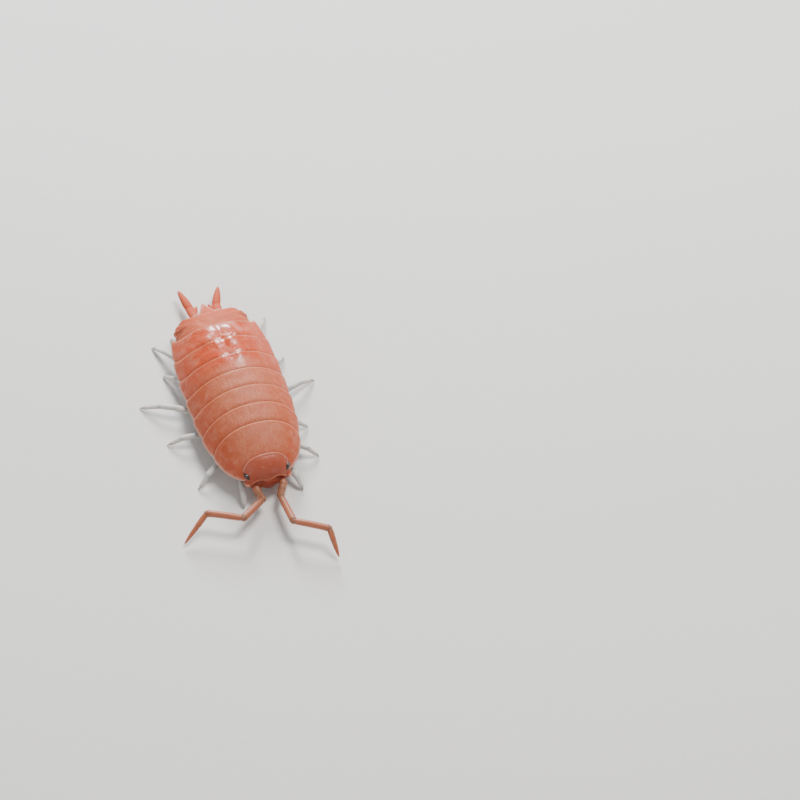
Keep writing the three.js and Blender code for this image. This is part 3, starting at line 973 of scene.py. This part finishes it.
class WOODLOUSE_OT_head(bpy.types.Operator):
    """Head with its wavy frontal line, lobes and face"""

    bl_idname = "woodlouse.head"
    bl_label = "Head"

    def execute(self, context):
        points, faces = one_skin("head", head_parts(), HEAD_GRAIN, rounds=5)
        brow, neck = frontal_line(), neck_line()
        line = np.minimum(nearest(points, brow[::3]), nearest(points, neck[::3]) + 0.02)
        for side in (-1, 1):
            lobe = [(side * 1.55, -7.95, 1.42), (side * 1.74, -7.82, 1.36), (side * 1.72, -7.62, 1.36)]
            line = np.minimum(line, nearest(points, np.array(lobe)) - 0.08)
        brow_height = np.interp(points[:, 0], brow[:, 0], brow[:, 2])
        face = smooth(0.0, 0.12, brow_height - points[:, 2])
        obj = new_object("head_skin", points, faces, {"line": line, "face": face}, recalculate=False)
        finish_piece(obj, head_paint(context.scene.woodlouse_head), "head", "head")
        return {"FINISHED"}


class WOODLOUSE_OT_mouthparts(bpy.types.Operator):
    """Jaws and the paired plates that cover the mouth from below"""

    bl_idname = "woodlouse.mouthparts"
    bl_label = "Mouthparts"

    def execute(self, context):
        parts = []
        for side in (-1, 1):
            parts += [
                ball((side * 0.24, -7.32, 0.86), (0.23, 0.46, 0.14), (0.2, side * 0.25, side * 0.1)),
                ball((side * 0.42, -7.72, 0.86), (0.13, 0.26, 0.12), (0.3, 0, side * 0.35)),
                ball((side * 0.7, -7.5, 1.0), (0.24, 0.36, 0.26), (0, 0, side * 0.2)),
            ]
        parts.append(ball((0, -8.0, 0.86), (0.28, 0.18, 0.14), (0.3, 0, 0)))
        points, faces, _ = joined(parts)
        obj = new_object("mouthparts", points, faces, {"pale": np.full(len(points), 0.35)})
        limbs = context.scene.woodlouse_limbs
        paint = limb_paint("mouth", limbs.antenna, limbs.pale, (0.45, 0.16, 0.1))
        finish_piece(obj, paint, "head")
        return {"FINISHED"}


# Pieces made by Geometry Nodes


class Growth(Tree):
    """A Geometry Nodes tree that turns the geometry it is given into painted copies of a small shape."""

    def __init__(self, name, **inputs):
        super().__init__(bpy.data.node_groups.new(name, "GeometryNodeTree"))
        face = self.tree.interface
        face.new_socket("Geometry", in_out="INPUT", socket_type="NodeSocketGeometry")
        for label, (kind, default) in inputs.items():
            face.new_socket(label, in_out="INPUT", socket_type="NodeSocket" + kind).default_value = default
        face.new_socket("Material", in_out="INPUT", socket_type="NodeSocketMaterial")
        face.new_socket("Geometry", in_out="OUTPUT", socket_type="NodeSocketGeometry")
        self.enter = self.node("NodeGroupInput").outputs
        self.leave = self.node("NodeGroupOutput")

    def random(self, low, high):
        """A number between low and high for each copy."""
        ends = {"in2": low, "in3": high, "Seed": self.enter["Seed"]}
        return self.node("FunctionNodeRandomValue", {"data_type": "FLOAT"}, **ends).outputs[1]

    def close(self, **copies):
        """Puts the copies on their points, makes them real and paints them."""
        spread = self.node("GeometryNodeInstanceOnPoints", **copies).outputs["Instances"]
        real = self.node("GeometryNodeRealizeInstances", Geometry=spread).outputs[0]
        painted = self.node("GeometryNodeSetMaterial", Geometry=real, Material=self.enter["Material"])
        self.feed(self.leave.inputs[0], painted.outputs[0])
        return self.tree


def grown(obj, group, values):
    """The mesh that a tree makes from obj, with its inputs set by identifier."""
    growth = obj.modifiers.new("Growth", "NODES")
    growth.node_group = group
    for item in group.interface.items_tree:
        if item.in_out == "INPUT" and item.name in values:
            growth[item.identifier] = values[item.name]
    return evaluated(obj)


def bead_tree():
    """One small sphere on every point."""
    tree = Growth("Ocelli", Radius=("Float", 0.05 * MM), Seed=("Int", BEAD_SEED))
    bead = tree.node("GeometryNodeMeshIcoSphere", Radius=tree.enter["Radius"], Subdivisions=2)
    copies = {"Points": tree.enter["Geometry"], "Instance": bead.outputs["Mesh"]}
    return tree.close(**copies, Scale=tree.random(0.85, 1.1))


def bristle_tree():
    """Fine hairs spread over a limb, leaning along the vectors in its lean attribute."""
    sizes = {"Length": ("Float", 0.15 * MM), "Radius": ("Float", 0.008 * MM), "Density": ("Float", 1e7)}
    tree = Growth("Bristles", **sizes, Seed=("Int", LEG_BRISTLE_SEED))
    enter = tree.enter
    on_limb = {"Mesh": enter["Geometry"], "Density": enter["Density"], "Seed": enter["Seed"]}
    settings = {"distribute_method": "RANDOM"}
    points = tree.node("GeometryNodeDistributePointsOnFaces", settings, **on_limb).outputs
    lean = tree.node("GeometryNodeInputNamedAttribute", {"data_type": "FLOAT_VECTOR"}, Name="lean")
    sum_of = {"in0": points["Normal"], "in1": lean.outputs[0]}
    aim = tree.node("ShaderNodeVectorMath", {"operation": "ADD"}, **sum_of).outputs[0]
    turn = tree.node("FunctionNodeAlignEulerToVector", {"axis": "Z"}, Vector=aim).outputs[0]
    shape = {"Vertices": 5, "Radius_Top": 0.0, "Radius_Bottom": enter["Radius"], "Depth": enter["Length"]}
    hair = tree.node("GeometryNodeMeshCone", **shape).outputs["Mesh"]
    copies = {"Points": points["Points"], "Instance": hair, "Rotation": turn}
    return tree.close(**copies, Scale=tree.random(0.45, 1.0))


def bead_places():
    """Rows of beads on the dome of an eye: out, along and up from its middle."""
    places = []
    for i in range(-3, 4):
        for k in range(-3, 4):
            along, up = (i + 0.5 * (k % 2)) * OCELLUS_STEP[0], k * OCELLUS_STEP[1]
            if (along / EYE_REACH[0]) ** 2 + (up / EYE_REACH[1]) ** 2 > 1:
                continue
            fall = (along / EYE_DOME_REACH[0]) ** 2 + (up / EYE_DOME_REACH[1]) ** 2
            places.append((EYE_DOME[0] * math.sqrt(max(0.0, 1 - fall)), along, up))
    return places


class WOODLOUSE_OT_eyes(bpy.types.Operator):
    """Two eyes, each a cluster of beads on a low dark dome"""

    bl_idname = "woodlouse.eyes"
    bl_label = "Eyes"

    def execute(self, context):
        head = context.scene.woodlouse_head
        paint = eye_paint(head)
        tree = bead_tree()
        inwards, forwards, up = EYE_OFFSET
        for word, side in SIDES.items():
            low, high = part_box(f"eye_{word}")
            centre = np.array((low + high) / 2) / MM - SHIFT + (side * inwards, forwards, up)
            turn = Matrix.Rotation(side * EYE_TILT, 3, "Y") @ Matrix.Rotation(-side * EYE_YAW, 3, "Z")
            beads = [np.array(turn @ Vector((side * x, y, z))) + centre for x, y, z in bead_places()]
            source = new_object("beads", np.array(beads), [], recalculate=False)
            mesh = grown(source, tree, {"Radius": head.bead, "Seed": BEAD_SEED, "Material": paint})
            dome = new_object("dome", *ball(centre, EYE_DOME, (0, side * EYE_TILT, -side * EYE_YAW)))
            obj = merged(f"eye_{word}_beads", [mesh, dome.data])
            bpy.data.objects.remove(dome)
            finish_piece(obj, paint, "eye", f"eye_{word}")
        return {"FINISHED"}


# Limbs


def article_tube(start, end, radii, flat=1.0, steps=14, bow=0.0):
    """One article from start to end. radii are (share of the way, radius) pairs."""
    start, end = np.array(start, float), np.array(end, float)
    at, radius = zip(*radii)
    shares = np.unique(np.concatenate([np.linspace(0, 1, steps), at]))
    lift = [np.array([0, 0, bow * math.sin(math.pi * t)]) for t in shares]
    line = [(mix(start, end, t) + up, float(np.interp(t, at, radius))) for t, up in zip(shares, lift)]
    return tube(line, sides=18, flat=flat)


def article_profile(r0, r1, flare=1.05):
    """A narrow start, an even shaft and a flared, rounded end."""
    start = [(0.0, r0 * 0.5), (0.03, r0 * 0.75), (0.1, r0 * 0.92)]
    shaft = [(0.3, mix(r0, r1, 0.3)), (0.82, mix(r0, r1, 0.82))]
    return start + shaft + [(0.94, r1 * flare), (0.985, r1 * flare * 0.97), (1.0, r1 * 0.8)]


def limb_mesh(name, articles):
    """Articles are (points, faces, pale, direction). Returns an object with pale and lean attributes."""
    points, faces, attributes = joined([(at, faces, {"pale": pale}) for at, faces, pale, _ in articles])
    obj = new_object(name, points, faces, attributes)
    leans = [np.broadcast_to(np.array(direction), (len(at), 3)) for at, _, _, direction in articles]
    layer = obj.data.attributes.new("lean", "FLOAT_VECTOR", "POINT")
    layer.data.foreach_set("vector", np.vstack(leans).astype(np.float32).ravel())
    return obj


def unit(v):
    return np.array(v, float) / max(1e-9, np.linalg.norm(v))


def antenna_article(start, end, radii, pale, bow=0.0):
    """One article whose pale values run along it and fade towards its lower side, which paints a highlight
    along its upper side.
    """
    points, faces = article_tube(start, end, radii, bow=bow)
    along = unit(end - start)
    share = np.clip((points - start) @ along / np.linalg.norm(end - start), 0, 1)
    pale = np.interp(share, np.linspace(0, 1, len(pale)), pale)
    # The upper side is paler than the lower: a painted highlight
    top = smooth(-0.1, 0.25, (points - (start + share[:, None] * (end - start)))[:, 2])
    return points, faces, pale * (0.45 + 0.55 * top), along * 0.9


def antenna_object(word):
    root, hip, shoulder, elbow, wrist, tip = (np.array(p) for p in ANTENNAE[word])
    inside, front = root + np.array([0, 0.35, 0.05]), root + np.array([0, -0.12, 0])
    articles = [
        antenna_article(inside, front, article_profile(0.3, 0.28), [0.3, 0.45]),
        antenna_article(root, mix(hip, shoulder, 0.12), article_profile(0.27, 0.28), [0.4, 0.75]),
        antenna_article(mix(hip, shoulder, 0.02), shoulder, article_profile(0.27, 0.27), [0.7, 0.6, 0.65]),
    ]
    joints = [root, hip, shoulder, elbow, wrist, tip]
    for n, radius in ANTENNA_BENDS:
        points, faces = ball(joints[n], (radius,) * 3, around=18, upwards=12)
        articles.append((points, faces, 0.85, unit(joints[n + 1] - joints[n])))
    end, start = mix(wrist, tip, 0.42), mix(wrist, tip, 0.41)
    articles += [
        antenna_article(shoulder, elbow, article_profile(0.26, 0.265), [0.65, 0.45, 0.3, 0.25, 0.6]),
        antenna_article(elbow, wrist, article_profile(0.25, 0.25), [0.4, 0.15, 0.1, 0.15, 0.5], bow=0.05),
        antenna_article(wrist, end, article_profile(0.23, 0.21, 1.03), [0.5, 0.1, 0.1, 0.3]),
        antenna_article(start, tip, ANTENNA_TAPER, [0.4, 0.1, 0.1, 0.35]),
    ]
    return limb_mesh(f"antenna_{word}_articles", articles)


def leg_object(word, n):
    root = np.array([SIDES[word] * LEG_ROOT_X, LEG_ROOT_Y[n]])
    tip = np.array([SIDES[word] * LEG_TIPS[word][n][0], LEG_TIPS[word][n][1]])
    joints = [np.array([*mix(root, tip, share), height]) for share, height, _ in LEG_JOINTS]
    radii = [radius for _, _, radius in LEG_JOINTS]
    articles = []
    for k in range(len(joints) - 2):
        start, end, knee = joints[k], joints[k + 1], radii[k + 1]
        shape = article_tube(start, end, article_profile(radii[k], knee, 1.07), flat=0.8, steps=10)
        articles.append((*shape, 0.55 + 0.1 * k, unit(end - start) * 0.7))
        skin = ball(end, (knee * 0.9, knee * 0.9, knee * 0.75), around=14, upwards=8)
        articles.append((*skin, 0.9, unit(end - start)))
    # The last article ends in a claw, with a shorter one beside it
    start, end = joints[-2], np.array([*tip, 0.02])
    along = unit(end - start)
    beside = unit(np.cross(end - start, (0, 0, 1))) * CLAW_APART
    articles.append((*article_tube(start, end, CLAW, bow=0.05, steps=8), 0.5, along))
    start, end = mix(start, end, 0.5) + beside, end + beside + (0, 0, 0.04)
    articles.append((*article_tube(start, end, SHORT_CLAW, steps=5), 0.4, along))
    return limb_mesh(f"leg_{word}_{n + 1}_articles", articles)


def bristles_from(name, objects, limbs, length_share, seed, slot):
    """One piece of the hairs that grow on copies of these limbs, none of them under the floor."""
    tree = bpy.data.node_groups.get("Bristles") or bristle_tree()
    skin = (0.7, 0.62, 0.55), (0.5, 0.36, 0.28)
    paint = bpy.data.materials.get("bristle_finish") or limb_paint("bristle", limbs.leg, *skin)
    values = {
        "Length": limbs.bristle * length_share,
        "Density": limbs.bristles_per_mm2 / MM**2,
        "Seed": seed,
        "Material": paint,
    }
    mesh = grown(merged(name, [obj.data for obj in objects]), tree, values)
    for vertex in mesh.vertices:
        vertex.co.z = max(0.0, vertex.co.z)
    hairs = bpy.data.objects.new(name, mesh)
    bpy.context.scene.collection.objects.link(hairs)
    finish_piece(hairs, paint, slot)


class WOODLOUSE_OT_antennae(bpy.types.Operator):
    """Two elbowed antennae with their fine hairs"""

    bl_idname = "woodlouse.antennae"
    bl_label = "Antennae"

    def execute(self, context):
        limbs = context.scene.woodlouse_limbs
        paint = limb_paint("antenna", limbs.antenna, limbs.pale, (0.46, 0.12, 0.055))
        made = [antenna_object(word) for word in SIDES]
        for obj, word in zip(made, SIDES):
            finish_piece(obj, paint, "antenna", f"antenna_{word}")
        bristles_from("antenna_hairs", made, limbs, 0.45, ANTENNA_HAIR_SEED, "antenna")
        return {"FINISHED"}


class WOODLOUSE_OT_legs(bpy.types.Operator):
    """Fourteen slender legs with claws and bristles"""

    bl_idname = "woodlouse.legs"
    bl_label = "Legs"

    def execute(self, context):
        limbs = context.scene.woodlouse_limbs
        paint = limb_paint("leg", limbs.leg, (0.58, 0.55, 0.51), (0.46, 0.34, 0.27))
        made = []
        for word in SIDES:
            for n in range(len(LEG_ROOT_Y)):
                made.append(leg_object(word, n))
                finish_piece(made[-1], paint, "leg", f"leg_{word}_{n + 1}")
        bristles_from("leg_bristles", made, limbs, 1.0, LEG_BRISTLE_SEED, "leg")
        return {"FINISHED"}


# Underside


def belly_ring(y, around):
    """Points round the belly at y: up to the plates above, and grooved between the segments below."""
    near = min(abs(y - root) for root in LEG_ROOT_Y)
    groove = 0.09 * smooth(0.45, 0.75, near) if -6.3 < y < 4.3 else 0.04
    shell = min(float(outline(y)), mix(3.3, 1.5, float(smooth(4.6, 7.3, y))))
    ring = []
    for k in range(around):
        c, s = math.cos(2 * math.pi * k / around), math.sin(2 * math.pi * k / around)
        x = min(BELLY_HALF, shell * 0.72) * np.sign(c) * abs(c) ** 0.7
        if s >= 0:
            under_shell = EDGE_Z + (float(ridge(y)) - EDGE_Z) * float(arch(x / shell)) - 0.4
            height = BELLY_SIDE_Z + max(0.0, under_shell - BELLY_SIDE_Z) * s
        else:
            height = BELLY_SIDE_Z + (BELLY_SIDE_Z - BELLY_LOW - groove) * s + 0.25 * abs(c) ** 4
        ring.append((x, y, height))
    return ring


class WOODLOUSE_OT_belly(bpy.types.Operator):
    """Soft underside in segments, with a swelling at the root of each leg"""

    bl_idname = "woodlouse.belly"
    bl_label = "Belly"

    def execute(self, context):
        rows, around = 90, 40
        grid = [point for i in range(rows) for point in belly_ring(mix(*BELLY_Y, i / (rows - 1)), around)]
        faces = grid_faces(rows, around, wrap=True)
        faces.append(tuple(range(around - 1, -1, -1)))
        faces.append(tuple(range((rows - 1) * around, rows * around)))
        parts = [(np.array(grid), faces)]
        rough = {"around": 20, "upwards": 12}
        for side in (-1, 1):
            for y in LEG_ROOT_Y:
                parts.append(ball((side * LEG_ROOT_X, y, 1.42), (0.42, 0.4, 0.32), **rough))
                parts.append(ball((side * 2.2, y, 1.75), (0.6, 0.45, 0.28), (0, -side * 0.4, 0), **rough))
        points, faces = one_skin("belly", parts, BELLY_GRAIN, rounds=5)
        obj = new_object("belly", points, faces, recalculate=False)
        finish_piece(obj, belly_paint(context.scene.woodlouse_limbs), "tail")
        return {"FINISHED"}


def pleopod(n, side):
    """One rounded flap, the front pairs paler and wider."""
    a = np.linspace(0, 1, 25)[None, :]
    t = np.linspace(0, 1, 17)[:, None]
    x = side * (0.04 + (0.98 - 0.1 * n) * a) + 0 * t
    edge = 0.85 * np.sqrt(np.maximum(0.02, 1 - (a - 0.25) ** 2 / 0.62))
    y = 4.75 + 0.45 * n - 0.35 + t * (0.35 + edge)
    z = 1.27 - 0.02 * n - 0.1 * t + 0.16 * a**2 + 0.03 * (1 - t)
    lower = np.stack([x, y, z], axis=2)
    points, faces, _ = sheet_between(lower + np.array([0, 0, 0.07]), lower, 0.02)
    return points, faces, {"pale": 0.9 if n < 2 else 0.45}


class WOODLOUSE_OT_pleopods(bpy.types.Operator):
    """Overlapping pale flaps under the pleon"""

    bl_idname = "woodlouse.pleopods"
    bl_label = "Pleopods"

    def execute(self, context):
        parts = [pleopod(n, side) for n in range(len(PLEON)) for side in (-1, 1)]
        obj = new_object("pleopods", *joined(parts))
        limbs = context.scene.woodlouse_limbs
        paint = limb_paint("pleopod", limbs.belly, (0.8, 0.77, 0.72), (0.6, 0.4, 0.33))
        finish_piece(obj, paint, "tail")
        return {"FINISHED"}


# Stage

# Name, place and size in metres in the row's frame, watts and tint of each light
LIGHTS = [
    ("key", (0.09, 0.05, 0.2), 0.09, 0.5, (1.0, 0.97, 0.93)),
    ("behind", (0.03, 0.19, 0.08), 0.05, 0.34, (0.97, 0.98, 1.0)),
    ("above", (0.035, 0.165, 0.11), 0.04, 0.3, (0.97, 0.98, 1.0)),
    ("fill", (-0.16, -0.1, 0.1), 0.12, 0.08, (1.0, 0.98, 0.96)),
]
SKY_COLOUR, SKY_STRENGTH = (0.92, 0.95, 1.0, 1), 0.4
FLOOR_HALF = 0.6
# The point that the camera looks at, in the body's millimetres
AIM = (10.83, -4.8, 2.32)


def area_light(name, at, size, watts, tint):
    """A soft light that shines at the origin."""
    data = bpy.data.lights.new(name, "AREA")
    data.shape = "DISK"
    data.size = size
    data.energy = watts
    data.color = tint
    obj = bpy.data.objects.new(name, data)
    obj.location = at
    obj.rotation_euler = (-Vector(at)).to_track_quat("-Z", "Y").to_euler()
    bpy.context.scene.collection.objects.link(obj)


class WOODLOUSE_OT_stage(bpy.types.Operator):
    """Floor, lights and camera"""

    bl_idname = "woodlouse.stage"
    bl_label = "Stage"

    def execute(self, context):
        stage = context.scene.woodlouse_stage
        corners = FLOOR_HALF * np.array([(-1, -1, 0), (1, -1, 0), (1, 1, 0), (-1, 1, 0)])
        floor = new_object("floor", corners, [(0, 1, 2, 3)], recalculate=False, in_place=True)
        floor.data.materials.append(floor_paint(stage))
        world = bpy.data.worlds.new("studio")
        world.use_nodes = True
        sky = world.node_tree.nodes["Background"].inputs
        sky["Color"].default_value = SKY_COLOUR
        sky["Strength"].default_value = SKY_STRENGTH
        context.scene.world = world
        for light in LIGHTS:
            area_light(*light)
        aim = Vector(place([AIM])[0])
        az, el = stage.azimuth, stage.elevation
        back = Vector((math.sin(az) * math.cos(el), -math.cos(az) * math.cos(el), math.sin(el)))
        data = bpy.data.cameras.new("camera")
        data.sensor_width = 36
        data.angle = 2 * math.atan(stage.span / 2 / stage.distance)
        data.clip_start, data.clip_end = 0.01, 5
        camera = bpy.data.objects.new("camera", data)
        camera.location = aim + back * stage.distance
        camera.rotation_euler = (-back).to_track_quat("-Z", "Y").to_euler()
        context.scene.collection.objects.link(camera)
        context.scene.camera = camera
        return {"FINISHED"}


OPERATORS = [
    WOODLOUSE_OT_plates,
    WOODLOUSE_OT_pleon,
    WOODLOUSE_OT_telson,
    WOODLOUSE_OT_uropods,
    WOODLOUSE_OT_head,
    WOODLOUSE_OT_mouthparts,
    WOODLOUSE_OT_eyes,
    WOODLOUSE_OT_antennae,
    WOODLOUSE_OT_legs,
    WOODLOUSE_OT_belly,
    WOODLOUSE_OT_pleopods,
    WOODLOUSE_OT_stage,
]


class WOODLOUSE_PT_panel(bpy.types.Panel):
    """Lists the pieces and their settings"""

    bl_label = "Woodlouse"
    bl_idname = "WOODLOUSE_PT_panel"
    bl_space_type = "VIEW_3D"
    bl_region_type = "UI"
    bl_category = "Woodlouse"

    def draw(self, context):
        for kind in OPERATORS:
            self.layout.operator(kind.bl_idname)
        for key, group in GROUPS.items():
            box = self.layout.box()
            for name in group.__annotations__:
                box.prop(getattr(context.scene, key), name)


def register():
    for kind in [*GROUPS.values(), *OPERATORS, WOODLOUSE_PT_panel]:
        bpy.utils.register_class(kind)
    for key, group in GROUPS.items():
        setattr(bpy.types.Scene, key, bpy.props.PointerProperty(type=group))


def unregister():
    for key in GROUPS:
        delattr(bpy.types.Scene, key)
    for kind in reversed([*GROUPS.values(), *OPERATORS, WOODLOUSE_PT_panel]):
        bpy.utils.unregister_class(kind)


def main():
    register()
    for kind in OPERATORS:
        group, name = kind.bl_idname.split(".")
        getattr(getattr(bpy.ops, group), name)()
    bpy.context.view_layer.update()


if __name__ == "__main__":
    main()
